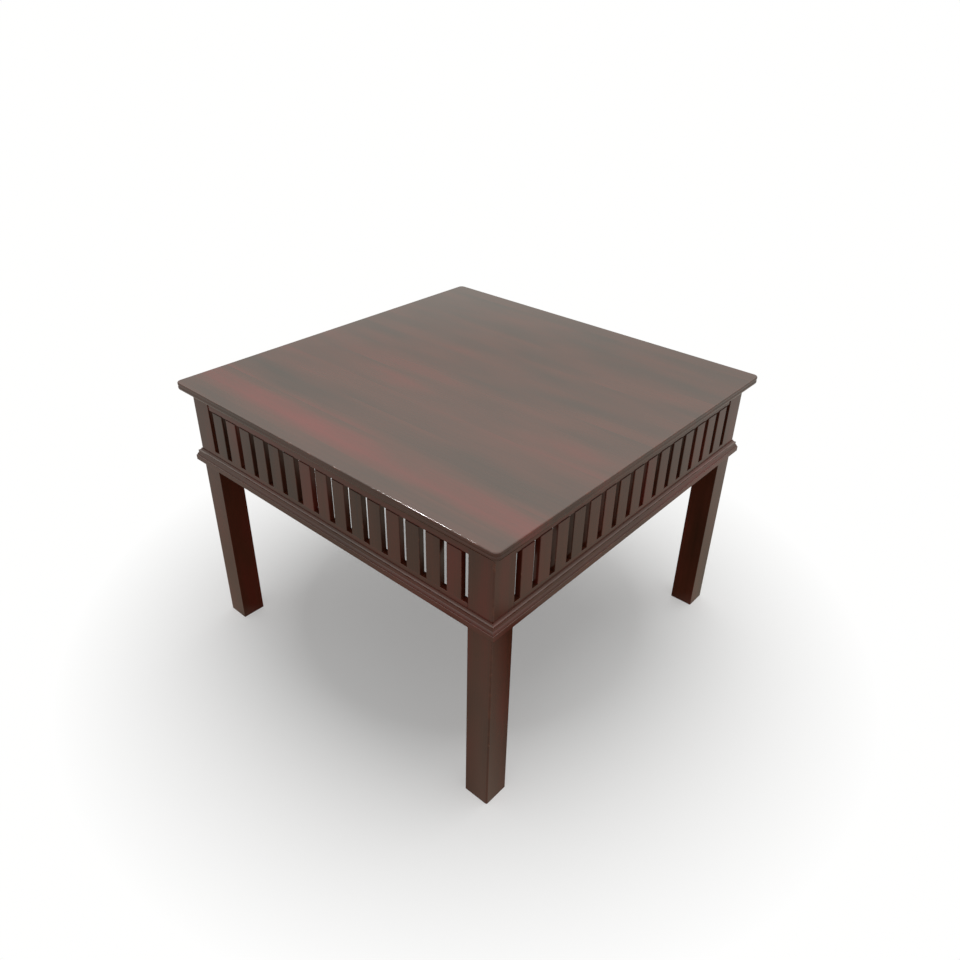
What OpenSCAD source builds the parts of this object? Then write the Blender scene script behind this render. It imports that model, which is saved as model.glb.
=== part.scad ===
// Square dining table in dark lacquered hardwood.
// A moulded top of edge-glued boards stands on four square legs. The apron on
// each side is a row of slats between an upper and a lower rail, and a mitred
// moulding runs round the legs and lower rails. All sizes are in millimetres.
// The origin is on the floor under the middle of the top. Front is -Y.

/* [Overall] */
// Side of the square top, measured over its moulded edge
table_side = 1075; // [1000:5:1150]
// Height of the top surface above the floor
table_height = 750; // [700:5:780]

/* [Top] */
// Thickness of the top
top_thickness = 22; // [20:1:30]
// How far the top reaches past the outer faces of the legs
top_overhang = 26; // [18:1:40]
// Plan radius of the four corners of the top
top_corner_radius = 15; // [10:1:30]
// Width of the first and last board; the others share the rest of the side
outer_board_width = 52.5; // [45:0.5:85]
// Radius that eases the upper arris of the top
arris_radius = 3; // [1:0.5:4]
// Radius of the shallow cove that runs along the edge
edge_cove_radius = 4.5; // [3.5:0.5:5.5]
// How deep the cove is cut into the edge
edge_cove_depth = 1; // [0.5:0.25:1.25]
// Depth of the middle of the cove below the top surface
edge_cove_drop = 9.5; // [8.5:0.5:11]
// Radius along the under side of the edge
edge_under_radius = 7; // [3:0.5:9]

/* [Legs] */
// Side of each square leg
leg_size = 66; // [60:1:80]
// Radius of the arris at the outer corner of the table
leg_outer_radius = 4; // [1:0.5:8]
// Radius of the other three long arrises of a leg
leg_inner_radius = 1; // [0.5:0.5:2]
// Chamfer round the foot of a leg
foot_chamfer = 1.5; // [0.5:0.5:4]

/* [Rails] */
// Height of the upper rails
upper_rail_height = 39; // [36:1:50]
// Thickness of the upper rails
upper_rail_thickness = 20; // [18:1:26]
// How far the upper rails lie behind the leg faces
upper_rail_setback = 2; // [1:0.5:3]
// Height of the lower rails
lower_rail_height = 47; // [44:1:60]
// Thickness of the lower rails, which are flush with the leg faces
lower_rail_thickness = 16; // [15:1:22]

/* [Slats] */
// Clear height between the upper and the lower rail
slat_opening = 121; // [90:1:140]
// Number of slats on each side of the table
slat_count = 15; // [11:2:17]
// Width of a slat
slat_width = 40; // [34:1:46]
// Thickness of a slat
slat_thickness = 14; // [12:0.5:15]
// Radius of the two front arrises of a slat
slat_arris_radius = 1.5; // [0.5:0.5:3]

/* [Moulding] */
// Height of the moulding, which ends level with the lower rails
moulding_height = 35; // [32:1:44]
// Thickness of the moulding at its lower band
moulding_thickness = 13; // [11.5:0.5:16]
// Flat land that is left along its top
moulding_land = 1.5; // [1:0.5:2.5]
// Radius of the cove below the land
moulding_cove_radius = 6; // [4:0.5:7]
// Radius of the rounded member between the cove and the band
moulding_ovolo_radius = 9; // [7:0.5:10]
// Width of the ledge on top of the lower band
moulding_ledge = 2; // [1.5:0.5:3]
// Height of the lower band
moulding_band = 15; // [12:1:18]
// Radius that eases both arrises of the lower band
band_arris_radius = 1.5; // [0.5:0.25:1.5]

/* [Joints] */
// Length of the tenons on the rails
rail_tenon_length = 30; // [25:1:42]
// Thickness of the tenons on the rails
rail_tenon_thickness = 8; // [6:0.5:9]
// Depth of a rail tenon behind the leg face
rail_tenon_inset = 6; // [4:0.5:7]
// Shoulder above and below a rail tenon
rail_tenon_shoulder = 6; // [3:1:9]
// Length of the stub tenons on the slats
slat_tenon_length = 10; // [6:1:14]
// Thickness of the stub tenons on the slats
slat_tenon_thickness = 6; // [5:0.5:7]
// Depth of a slat tenon behind the leg face
slat_tenon_inset = 5; // [4:0.5:6]
// Shoulder at each edge of a slat tenon
slat_tenon_shoulder = 5; // [3:1:8]
// Glue line round each tenon in its mortise
glue_line = 0.1; // [0.05:0.05:0.3]
// Spare depth of a mortise beyond its tenon
mortise_spare = 1.5; // [0.5:0.5:3]

/* [Blocks and battens] */
// Height of the corner blocks
block_height = 30; // [26:1:32]
// How far a corner block reaches along a rail past the leg
block_reach = 55; // [48:1:70]
// Thickness of a corner block at its two tips
block_tip = 12; // [10:1:16]
// Distance of the screws in a corner block past the leg
block_screw_reach = 30; // [26:1:33]
// Width of the cleats along the upper rails
cleat_width = 20; // [16:1:26]
// Thickness of the cleats and battens under the top
cleat_thickness = 20; // [18:1:24]
// Space between the end of a cleat and a corner block
cleat_end_space = 2; // [1:0.5:6]
// Width of the two battens across the boards
batten_width = 45; // [35:1:60]
// Distance between the middles of the two battens
batten_spacing = 350; // [240:10:520]

/* [Fasteners] */
// Length of the countersunk wood screws
screw_length = 35; // [30:1:38]
// Shank diameter of the screws
screw_shank_d = 4; // [3:0.5:5]
// Head diameter of the screws
screw_head_d = 8; // [7:0.5:9]
// Height of the countersunk head
screw_head_height = 2.4; // [2:0.2:3]
// Length of the pointed tip
screw_tip = 5; // [3:0.5:7]
// Depth of the cross recess in a screw head
cross_recess_depth = 1.5; // [0.8:0.1:1.8]
// Width of each arm of the cross recess
cross_recess_width = 0.9; // [0.6:0.1:1.2]
// Length of each arm of the cross recess
cross_recess_length = 4.4; // [3.5:0.1:5]
// Clearance round a screw in its hole
screw_clearance = 0.15; // [0.05:0.05:0.3]
// Clearance round a screw head in a counterbore
counterbore_clearance = 0.5; // [0.3:0.1:1]
// Diameter of the pins that hold the moulding
pin_d = 1.6; // [1.2:0.1:2]
// Length of the pins
pin_length = 22; // [18:1:24]
// Wood filler over the head of each pin
pin_cover = 1.5; // [1:0.5:3]
// Distance of the pins in a leg from its outer corner
leg_pin_inset = 18; // [15:1:22]
// Pins along each lower rail
rail_pin_count = 4; // [2:1:6]

/* [Hidden] */
$fn = 48;
sides = ["front", "right", "back", "left"];
corners = ["front_left", "front_right", "back_right", "back_left"];
board_count = 12;
lacquered_wood = [0.27, 0.15, 0.12];
bare_wood = [0.55, 0.36, 0.25];
zinc_steel = [0.72, 0.72, 0.70];

// Overrun of a cut past the face that it opens
overrun = 1;

// Levels above the floor
under_top = table_height - top_thickness;
upper_rail_z = under_top - upper_rail_height;
lower_rail_z = upper_rail_z - slat_opening - lower_rail_height;
slat_z = lower_rail_z + lower_rail_height;
block_z = under_top - block_height;
screw_head_z = under_top - cleat_thickness;
block_screw_z = under_top - block_height / 2;
pin_z = lower_rail_z + moulding_band / 2;

// Width of the boards between the outer two
board_width = (table_side - 2 * outer_board_width) / (board_count - 2);

// Distances from the middle of the table
leg_face = table_side / 2 - top_overhang;
rail_half = leg_face - leg_size;
cleat_half = rail_half - block_reach - cleat_end_space;

// Depths behind the leg faces
rail_back = upper_rail_setback + upper_rail_thickness;
cleat_back = rail_back + cleat_width;
cleat_middle = rail_back + cleat_width / 2;
batten_half = leg_face - cleat_back;

// Spacing of the slats
slat_gap = (2 * rail_half - slat_count * slat_width) / (slat_count + 1);
slat_pitch = slat_width + slat_gap;
slat_x = [for (i = [1:slat_count]) -rail_half - slat_width / 2 + i * slat_pitch];

// Places of the screws and pins; each cleat has its screws in line with the
// second and the fourth board from the middle
block_diagonal = leg_size + block_reach + rail_back + block_tip;
block_screw_x = leg_size + block_screw_reach;
block_head_depth = rail_back + cleat_thickness;
block_centre = (2 * leg_size + block_diagonal) / 4;
batten_screw_x = [for (i = [2:board_count - 1]) (i - (board_count + 1) / 2) * board_width];
cleat_screw_x = [for (s = [-1, 1], i = [1, 3]) s * (i + 0.5) * board_width];
top_screw_places = concat(
    [for (x = batten_screw_x, y = [-batten_spacing, batten_spacing] / 2) [x, y]],
    [for (x = cleat_screw_x, k = [0:3]) turned([x, cleat_middle - leg_face], k)],
    [for (k = [0:3]) turned([block_centre - leg_face, block_centre - leg_face], k)]
);
rail_pin_pitch = 2 * rail_half / rail_pin_count;
rail_pin_x = [for (i = [1:rail_pin_count]) (i - 0.5) * rail_pin_pitch - rail_half];
leg_pin_x = leg_face - leg_pin_inset;

// A plan point after k quarter turns about the middle of the table
function turned(p, k) = k == 0 ? p : turned([-p.y, p.x], k - 1);

// Edges of board i across the top; the outer boards run past the moulded edge
function board_left(i) = i == 1 ? -table_side : (i - 1 - board_count / 2) * board_width;
function board_right(i) = i == board_count ? table_side : (i - board_count / 2) * board_width;

// Puts a piece drawn for the front side on side k
module on_side(k) {
    rotate([0, 0, 90 * k]) children();
}

// Puts a piece drawn from the outer corner of the front left leg on corner k
module in_corner(k) {
    rotate([0, 0, 90 * k]) translate([-leg_face, -leg_face, 0]) children();
}

// Waste outside a quarter round of radius r, whose square corner is at the origin
module arris_waste(r) {
    if (r > 0) translate([-r, -r]) difference() {
        square(r + overrun);
        circle(r);
    }
}

// Upright rectangle whose four arrises have the radii r, from the origin corner round
module eased_rectangle(width, depth, r) {
    difference() {
        square([width, depth]);
        rotate(180) arris_waste(r[0]);
        translate([width, 0]) rotate(-90) arris_waste(r[1]);
        translate([width, depth]) arris_waste(r[2]);
        translate([0, depth]) rotate(90) arris_waste(r[3]);
    }
}

// Waste of the edge moulding, with the top arris of the square edge at the origin
module edge_waste() {
    arris_waste(arris_radius);
    translate([edge_cove_radius - edge_cove_depth, -edge_cove_drop]) circle(edge_cove_radius);
    translate([0, -top_thickness]) mirror([0, 1]) arris_waste(edge_under_radius);
}

// Cross section of the whole top, moulded at both ends
module top_section() {
    difference() {
        translate([-table_side / 2, -top_thickness]) square([table_side, top_thickness]);
        for (s = [0, 1]) mirror([s, 0]) translate([table_side / 2, 0]) edge_waste();
    }
}

// Cross section that turns round a corner of the top
module top_corner_section() {
    difference() {
        translate([0, -top_thickness]) square([top_corner_radius, top_thickness]);
        translate([top_corner_radius, 0]) edge_waste();
    }
}

// The top in one piece, from which the boards are cut
module whole_top() {
    straight = table_side - 2 * top_corner_radius;
    middle = table_side / 2 - top_corner_radius;
    translate([0, 0, table_height]) {
        for (k = [0, 1]) {
            rotate([90, 0, 90 * k]) linear_extrude(straight, center = true) top_section();
        }
        for (k = [0:3]) rotate([0, 0, 90 * k]) {
            translate([middle, middle, 0]) rotate_extrude(angle = 90) top_corner_section();
        }
    }
}

// Outline of a screw, or with extra of its hole, turned round its axis from the head up
module screw_body(extra) {
    head_r = screw_head_d / 2 + extra;
    shank_r = screw_shank_d / 2 + extra;
    rotate_extrude() polygon([
        [0, 0],
        [head_r, 0],
        [shank_r, screw_head_height],
        [shank_r, screw_length - screw_tip],
        [extra, screw_length + extra],
        [0, screw_length + extra]
    ]);
}

// Countersunk wood screw with a cross recess, its head flat at the origin
module wood_screw() {
    difference() {
        screw_body(0);
        for (turn = [0, 90]) rotate([0, 0, turn]) {
            cube([cross_recess_length, cross_recess_width, 2 * cross_recess_depth], center = true);
        }
    }
}

// Hole for that screw, with a counterbore of the given depth under its head
module screw_hole(counterbore) {
    bore_r = screw_head_d / 2 + counterbore_clearance;
    screw_body(screw_clearance);
    if (counterbore > 0) translate([0, 0, -counterbore]) cylinder(counterbore, bore_r, bore_r);
}

// Pin from under its filler to its point, driven into the front side along +Y
module pin_at(x) {
    start = -leg_face - moulding_thickness + pin_cover;
    translate([x, start, pin_z]) rotate([-90, 0, 0]) cylinder(pin_length, pin_d / 2, pin_d / 2);
}

// Mortise for a rail tenon, cut from the inner face of a leg towards its outer corner
module rail_mortise(rail_z, rail_height) {
    depth = rail_tenon_length + mortise_spare;
    height = rail_height - 2 * rail_tenon_shoulder + 2 * glue_line;
    start_z = rail_z + rail_tenon_shoulder - glue_line;
    translate([leg_size - depth, rail_tenon_inset - glue_line, start_z])
        cube([depth + overrun, rail_tenon_thickness + 2 * glue_line, height]);
}

// Rail along the front side, tenoned at both ends
module rail(rail_z, rail_height, thickness, setback) {
    tenon_half = rail_half + rail_tenon_length;
    tenon_height = rail_height - 2 * rail_tenon_shoulder;
    translate([-rail_half, setback - leg_face, rail_z])
        cube([2 * rail_half, thickness, rail_height]);
    translate([-tenon_half, rail_tenon_inset - leg_face, rail_z + rail_tenon_shoulder])
        cube([2 * tenon_half, rail_tenon_thickness, tenon_height]);
}

// Row of mortises for the slat tenons, with their lower ends at start_z
module slat_mortises(start_z, depth) {
    width = slat_width - 2 * slat_tenon_shoulder + 2 * glue_line;
    thickness = slat_tenon_thickness + 2 * glue_line;
    for (x = slat_x) {
        translate([x - width / 2, slat_tenon_inset - glue_line - leg_face, start_z])
            cube([width, thickness, depth]);
    }
}

// Profile of the moulding: +X is outwards from the leg faces, and +Y is up
module moulding_section() {
    cove_x = moulding_land + moulding_cove_radius;
    ovolo_x = moulding_thickness - moulding_ledge - moulding_ovolo_radius;
    eased_rectangle(moulding_thickness, moulding_band, [0, band_arris_radius, band_arris_radius, 0]);
    difference() {
        square([cove_x, moulding_height]);
        translate([cove_x, moulding_height]) circle(moulding_cove_radius);
    }
    intersection() {
        translate([ovolo_x, moulding_band]) circle(moulding_ovolo_radius);
        translate([0, moulding_band]) square(moulding_thickness);
    }
}

// One board of the top, with blind holes for the screws that reach it
module top_board(i) {
    left = board_left(i);
    width = board_right(i) - left;
    reach = screw_shank_d;
    color(lacquered_wood) difference() {
        intersection() {
            whole_top();
            translate([left, -table_side, under_top - overrun])
                cube([width, 2 * table_side, top_thickness + 2 * overrun]);
        }
        for (p = top_screw_places) if (p.x > left - reach && p.x < left + width + reach) {
            translate([p.x, p.y, screw_head_z]) screw_body(screw_clearance);
        }
    }
}

// Square leg, mortised for two rails on each inner face
module leg(k) {
    centre = leg_size / 2;
    slope = foot_chamfer * sqrt(2);
    radii = [leg_outer_radius, leg_inner_radius, leg_inner_radius, leg_inner_radius];
    color(lacquered_wood) in_corner(k) difference() {
        linear_extrude(under_top) eased_rectangle(leg_size, leg_size, radii);
        for (swap = [0, 1]) mirror([swap, -swap, 0]) {
            rail_mortise(upper_rail_z, upper_rail_height);
            rail_mortise(lower_rail_z, lower_rail_height);
            translate([leg_face, leg_face, 0]) pin_at(-leg_pin_x);
        }
        for (turn = [0:90:270]) translate([centre, centre, 0]) rotate([0, 0, turn]) {
            translate([-centre, 0, 0]) rotate([0, 45, 0])
                cube([slope, leg_size + 2 * overrun, slope], center = true);
        }
    }
}

// Upper rail, which carries the slats, the cleats and the corner blocks
module upper_rail(k) {
    color(lacquered_wood) on_side(k) difference() {
        rail(upper_rail_z, upper_rail_height, upper_rail_thickness, upper_rail_setback);
        slat_mortises(upper_rail_z - overrun, slat_tenon_length + mortise_spare + overrun);
        for (s = [0, 1]) mirror([s, 0, 0]) block_screw_place() screw_body(screw_clearance);
    }
}

// Lower rail under the slats, flush with the leg faces
module lower_rail(k) {
    depth = slat_tenon_length + mortise_spare;
    color(lacquered_wood) on_side(k) difference() {
        rail(lower_rail_z, lower_rail_height, lower_rail_thickness, 0);
        slat_mortises(slat_z - depth, depth + overrun);
        for (x = rail_pin_x) pin_at(x);
    }
}

// All the slats of one side, each with a stub tenon at both ends
module slats(k) {
    radii = [slat_arris_radius, slat_arris_radius, 0, 0];
    tenon_width = slat_width - 2 * slat_tenon_shoulder;
    tenon_height = slat_opening + 2 * slat_tenon_length;
    color(lacquered_wood) on_side(k) for (x = slat_x) {
        translate([x - slat_width / 2, -leg_face, slat_z])
            linear_extrude(slat_opening) eased_rectangle(slat_width, slat_thickness, radii);
        translate([x - tenon_width / 2, slat_tenon_inset - leg_face, slat_z - slat_tenon_length])
            cube([tenon_width, slat_tenon_thickness, tenon_height]);
    }
}

// Moulding planted on the leg faces and the lower rail, mitred at both ends
module moulding(k) {
    outer = leg_face + moulding_thickness;
    color(lacquered_wood) on_side(k) difference() {
        intersection() {
            translate([0, -leg_face, lower_rail_z]) rotate([90, 0, -90])
                linear_extrude(2 * outer, center = true) moulding_section();
            translate([0, 0, lower_rail_z - overrun]) linear_extrude(moulding_height + 2 * overrun)
                polygon([[0, 0], [-2 * outer, -2 * outer], [2 * outer, -2 * outer]]);
        }
        for (x = concat(rail_pin_x, [-leg_pin_x, leg_pin_x])) pin_at(x);
    }
}

// Place and direction of the screw that holds the front left block to the front rail
module block_screw_place() {
    translate([block_screw_x - leg_face, block_head_depth - leg_face, block_screw_z])
        rotate([90, 0, 0]) children();
}

// Corner block glued behind a leg, between the two upper rails
module corner_block(k) {
    tip = leg_size + block_reach;
    color(bare_wood) in_corner(k) difference() {
        translate([0, 0, block_z]) linear_extrude(block_height) polygon([
            [rail_back, leg_size],
            [leg_size, leg_size],
            [leg_size, rail_back],
            [tip, rail_back],
            [tip, rail_back + block_tip],
            [rail_back + block_tip, tip],
            [rail_back, tip]
        ]);
        translate([block_centre, block_centre, screw_head_z])
            screw_hole(block_height - cleat_thickness + overrun);
        for (swap = [0, 1]) mirror([swap, -swap, 0]) {
            translate([leg_face, leg_face, 0]) block_screw_place() screw_hole(block_reach);
        }
    }
}

// Cleat glued along an upper rail and screwed up into the top
module cleat(k) {
    color(bare_wood) on_side(k) difference() {
        translate([-cleat_half, rail_back - leg_face, screw_head_z])
            cube([2 * cleat_half, cleat_width, cleat_thickness]);
        for (x = cleat_screw_x) {
            translate([x, cleat_middle - leg_face, screw_head_z]) screw_hole(0);
        }
    }
}

// Batten across the boards, between the left and the right cleat
module batten(side) {
    color(bare_wood) difference() {
        translate([-batten_half, (side * batten_spacing - batten_width) / 2, screw_head_z])
            cube([2 * batten_half, batten_width, cleat_thickness]);
        for (x = batten_screw_x) {
            translate([x, side * batten_spacing / 2, screw_head_z]) screw_hole(0);
        }
    }
}

// Screws that run up through the battens, cleats and blocks into the boards
module top_screws() {
    color(zinc_steel) for (p = top_screw_places) translate([p.x, p.y, screw_head_z]) wood_screw();
}

// Screws that hold each corner block to its two upper rails
module block_screws() {
    color(zinc_steel) for (k = [0:3], s = [0, 1]) on_side(k) {
        mirror([s, 0, 0]) block_screw_place() wood_screw();
    }
}

// Pins that hold the moulding to the legs and lower rails
module moulding_pins() {
    color(zinc_steel) for (k = [0:3]) on_side(k) {
        for (x = concat(rail_pin_x, [-leg_pin_x, leg_pin_x])) pin_at(x);
    }
}

for (i = [1:board_count]) top_board(i);
for (k = [0:3]) leg(k);
for (k = [0:3]) upper_rail(k);
for (k = [0:3]) lower_rail(k);
for (k = [0:3]) slats(k);
for (k = [0:3]) moulding(k);
for (k = [0:3]) corner_block(k);
for (k = [0:3]) cleat(k);
batten(-1);  // batten_front
batten(1);  // batten_back
top_screws();
block_screws();
moulding_pins();
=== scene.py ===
# %% [markdown]
# # A square dining table in dark lacquer
# The joinery is already solid: legs, rails, slats, moulding and boards all have
# their true places. This lesson gives each piece eased arrises, its own length
# of wood and a film of gloss lacquer, and then lights and frames the table.
# Everything is in metres. The floor is at height 0 and the front is -Y.

# %% Load the joinery
import math
import random

import bpy
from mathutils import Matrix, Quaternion, Vector


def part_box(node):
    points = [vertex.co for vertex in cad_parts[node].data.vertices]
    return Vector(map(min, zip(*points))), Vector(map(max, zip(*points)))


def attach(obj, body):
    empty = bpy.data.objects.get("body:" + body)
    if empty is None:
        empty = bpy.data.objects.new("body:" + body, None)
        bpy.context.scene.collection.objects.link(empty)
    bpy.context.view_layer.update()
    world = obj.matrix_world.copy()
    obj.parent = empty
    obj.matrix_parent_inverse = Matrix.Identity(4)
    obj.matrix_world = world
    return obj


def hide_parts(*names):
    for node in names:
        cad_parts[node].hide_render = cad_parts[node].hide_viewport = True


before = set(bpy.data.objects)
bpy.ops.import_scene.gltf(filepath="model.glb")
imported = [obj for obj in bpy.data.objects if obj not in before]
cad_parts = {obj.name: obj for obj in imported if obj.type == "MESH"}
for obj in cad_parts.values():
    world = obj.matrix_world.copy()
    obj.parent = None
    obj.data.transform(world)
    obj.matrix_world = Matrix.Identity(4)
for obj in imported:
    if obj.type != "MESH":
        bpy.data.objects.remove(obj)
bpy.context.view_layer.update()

# %% [markdown]
# ## The camera
# The camera looks down over one corner from eye height, about two metres from
# the middle of the top. Four corners of the top, the near leg and its foot are
# enough to solve for the place, the aim, the lens and the small tilt to one
# side, so these are measured values and not a guess.

# %% Set up the camera
eye = Vector((-1.4223, -1.2601, 1.6111))
aim = Vector((-0.3659, -0.3454, 0.7500))
side_tilt = 0.0202
lens_mm = 29.88
sensor_mm = 36

bpy.ops.object.camera_add(location=eye)
camera = bpy.context.object
camera.name = "Corner_camera"
camera.rotation_mode = "QUATERNION"
level_look = (aim - eye).to_track_quat("-Z", "Y")
camera.rotation_quaternion = level_look @ Quaternion((0, 0, 1), side_tilt)
camera.data.lens = lens_mm
camera.data.sensor_width = sensor_mm
bpy.context.scene.camera = camera
bpy.context.scene.view_settings.view_transform = "Standard"
print("eye to aim:", round((aim - eye).length, 3))

# %% [markdown]
# ## Placing shader nodes
# A material is a small graph. Writing each node as one call, with what feeds it
# beside it, keeps the graph readable: a number or a colour sets a socket, and
# another node's output is linked to it.

# %% Place a node and feed it
def feed(tree, socket, value):
    """Link another node's output to a socket, or give the socket a plain value."""
    if isinstance(value, bpy.types.NodeSocket):
        tree.links.new(value, socket)
    else:
        socket.default_value = value


def place_node(tree, kind, feeds=None, **settings):
    """Add a node, set its options, and then feed its sockets by name or number."""
    node = tree.nodes.new("ShaderNode" + kind)
    for name, value in settings.items():
        setattr(node, name, value)
    for socket, value in (feeds or {}).items():
        feed(tree, node.inputs[socket], value)
    return node


print("placing and feeding nodes: ready")

# %% [markdown]
# ## Sums, blends and ranges
# Three kinds of node do most of the work. A Math node adds or multiplies, a Mix
# node blends two colours, and a Map Range node stretches a value. Each gets a
# helper that hands back its result, so that one can be fed straight into the
# next, as in a sum on paper.

# %% Write sums, blends and ranges
def math_node(tree, operation, *values):
    """A Math node on up to three values, and its result."""
    return place_node(tree, "Math", dict(enumerate(values)), operation=operation).outputs[0]


def blend_colour(tree, share, first, second):
    """Blend two colours by a share from 0 to 1."""
    mix = place_node(tree, "Mix", data_type="RGBA")
    sockets = {socket.identifier: socket for socket in mix.inputs}
    for role, value in (("Factor_Float", share), ("A_Color", first), ("B_Color", second)):
        feed(tree, sockets[role], value)
    return next(socket for socket in mix.outputs if socket.identifier == "Result_Color")


def remap(tree, value, low, high, to_low=0.0, to_high=1.0):
    """Stretch a value from one range to another, clamped at both ends."""
    feeds = {0: value, 1: low, 2: high, 3: to_low, 4: to_high}
    return place_node(tree, "MapRange", feeds, clamp=True).outputs[0]


print("sums, blends and ranges: ready")

# %% [markdown]
# ## Patterns and groups
# Most of what varies on a finish is noise. Its size is best thought of as lumps
# per metre. Along the grain everything is drawn out, so the coordinates are
# squeezed that way before the noise reads them. What several finishes share
# becomes a node group, with named sockets for what differs between them.

# %% Make noise and groups
def noise(tree, vector, lumps, detail, roughness):
    """Fractal noise from 0 to 1, with so many lumps per metre."""
    feeds = {"Vector": vector, "Scale": lumps, "Detail": detail, "Roughness": roughness}
    return place_node(tree, "TexNoise", feeds).outputs[0]


def drawn_out(tree, vector, along):
    """The same coordinates, squeezed along the grain, which runs along Z."""
    return place_node(tree, "Mapping", {"Vector": vector, "Scale": (1, 1, along)}).outputs[0]


def new_group(name, inputs, outputs):
    """An empty shader group with named sockets, and its two end nodes."""
    group = bpy.data.node_groups.new(name, "ShaderNodeTree")
    for label, kind, value in inputs:
        socket = group.interface.new_socket(
            label, in_out="INPUT", socket_type="NodeSocket" + kind)
        if value is not None:
            socket.default_value = value
    for label, kind in outputs:
        group.interface.new_socket(label, in_out="OUTPUT", socket_type="NodeSocket" + kind)
    return group, group.nodes.new("NodeGroupInput"), group.nodes.new("NodeGroupOutput")


print("noise and groups: ready")

# %% [markdown]
# ## Wood that was once a tree
# Under the stain there is real wood: growth rings round a pith, long streaks,
# soft clouds, fibres and fine pores. A flat pattern would give itself away at
# the ends of the boards, so the pattern is solid. It knows how far each point
# lies from the pith, and so it draws lines along a face and arcs across an end
# by itself. Each piece carries two attributes: pith, which is where it grew in
# the tree, and tone, which is how red or how brown the stain has turned on it.
# A Wave node of scale 1 turns through 20 radians in a metre, and the scale of
# the rings follows from that.

# %% Draw the rings, streaks, clouds, fibres and pores
ring_width = 0.0065
wave_radians = 20
ring_scale = 2 * math.pi / (wave_radians * ring_width)
ring_bend = 7.0

figure_inputs = [
    ("Vector", "Vector", None),
    ("Tone", "Float", 0.5),
    ("Dark", "Color", (0.05, 0.02, 0.01, 1)),
    ("Middle", "Color", (0.09, 0.04, 0.03, 1)),
    ("Red", "Color", (0.15, 0.03, 0.02, 1)),
]
figure_outputs = [("Colour", "Color"), ("Pores", "Float")]
wood_figure, start, end = new_group("Wood figure", figure_inputs, figure_outputs)
grain = start.outputs["Vector"]


def grain_noise(along, lumps, detail, roughness):
    """Noise in the wood, drawn out along the grain."""
    return noise(wood_figure, drawn_out(wood_figure, grain, along), lumps, detail, roughness)


rings = place_node(
    wood_figure, "TexWave",
    {"Vector": drawn_out(wood_figure, grain, along=0.05), "Scale": ring_scale,
     "Distortion": ring_bend, "Detail": 2.0, "Detail Scale": 0.12, "Detail Roughness": 0.5},
    wave_type="RINGS", rings_direction="Z", wave_profile="SIN",
).outputs["Fac"]
streaks = grain_noise(along=0.06, lumps=30, detail=2, roughness=0.5)
clouds = grain_noise(along=0.25, lumps=14, detail=1.5, roughness=0.5)
fibres = grain_noise(along=0.02, lumps=520, detail=2, roughness=0.6)
pores = grain_noise(along=0.03, lumps=1300, detail=1, roughness=0.5)
print("ring width:", ring_width * 1000, "mm, ring scale:", round(ring_scale, 2))

# %% [markdown]
# ## From figure to colour
# Noise rarely leaves the middle of its range, so the streaks and clouds are
# stretched to fill it, and only the peaks of the pore noise become pores. The
# parts are added by their shares to the tone of the piece, less half of the
# contrast, so that on average a piece keeps its tone. The sum then picks a
# colour between the dark, the middle and the red stain. A colour ramp could pick
# it too, but its stops can't be fed from outside the group, and two blends can.

# %% Mix the parts into a colour
streak_share = 0.18
cloud_share = 0.62
ring_share = 0.08
fibre_share = 0.12
contrast = 0.65
pore_shade = 0.25
streak_range = (0.30, 0.70)
cloud_range = (0.28, 0.72)
pore_range = (0.60, 0.72)

streaks = remap(wood_figure, streaks, *streak_range)
clouds = remap(wood_figure, clouds, *cloud_range)
pores = remap(wood_figure, pores, *pore_range)
mixed = math_node(wood_figure, "SUBTRACT", start.outputs["Tone"], contrast / 2)
for part, share in (
    (streaks, streak_share),
    (clouds, cloud_share),
    (rings, ring_share),
    (fibres, fibre_share),
):
    mixed = math_node(wood_figure, "MULTIPLY_ADD", part, share * contrast, mixed)

dark, middle, red = (start.outputs[label] for label in ("Dark", "Middle", "Red"))
to_middle = remap(wood_figure, mixed, 0.0, 0.5)
to_red = remap(wood_figure, mixed, 0.5, 1.0)
in_pores = math_node(wood_figure, "MULTIPLY", pores, pore_shade)
colour = blend_colour(wood_figure, to_middle, dark, middle)
colour = blend_colour(wood_figure, to_red, colour, red)
colour = blend_colour(wood_figure, in_pores, colour, dark)
feed(wood_figure, end.inputs["Colour"], colour)
feed(wood_figure, end.inputs["Pores"], pores)
print("wood figure nodes:", len(wood_figure.nodes))

# %% [markdown]
# ## A film of lacquer
# Sprayed lacquer is glossy but never a perfect mirror. It flows into long soft
# waves, keeps a fine orange peel, and sinks a little into the pores. Hands and
# cloths rub the arrises. All of this is thinner than a hair, so it goes into a
# Bump node and the roughness, and not into the mesh. The group gives the height
# of the film in metres. The shader stays in the material itself.

# %% The lacquer film group
peel_height = 0.0000012
pore_sink = 0.0000015
smear_roughness = 0.05
rubbed_roughness = 0.18
smear_range = (0.35, 0.75)
rub_range = (0.50, 0.68)

film_inputs = [
    ("Vector", "Vector", None),
    ("Pores", "Float", 0.0),
    ("Arris", "Float", 0.0),
    ("Wave height", "Float", 0.00005),
    ("Gloss roughness", "Float", 0.08),
]
film_outputs = [("Height", "Float"), ("Roughness", "Float"), ("Rubbed", "Float")]
lacquer_film, start, end = new_group("Lacquer film", film_inputs, film_outputs)
surface = start.outputs["Vector"]
flow = drawn_out(lacquer_film, surface, along=0.5)

waves = noise(lacquer_film, flow, lumps=24, detail=1, roughness=0.4)
peel = noise(lacquer_film, surface, lumps=420, detail=1, roughness=0.5)
smears = noise(lacquer_film, surface, lumps=9, detail=3, roughness=0.6)
rubs = noise(lacquer_film, surface, lumps=38, detail=3, roughness=0.65)

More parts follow.
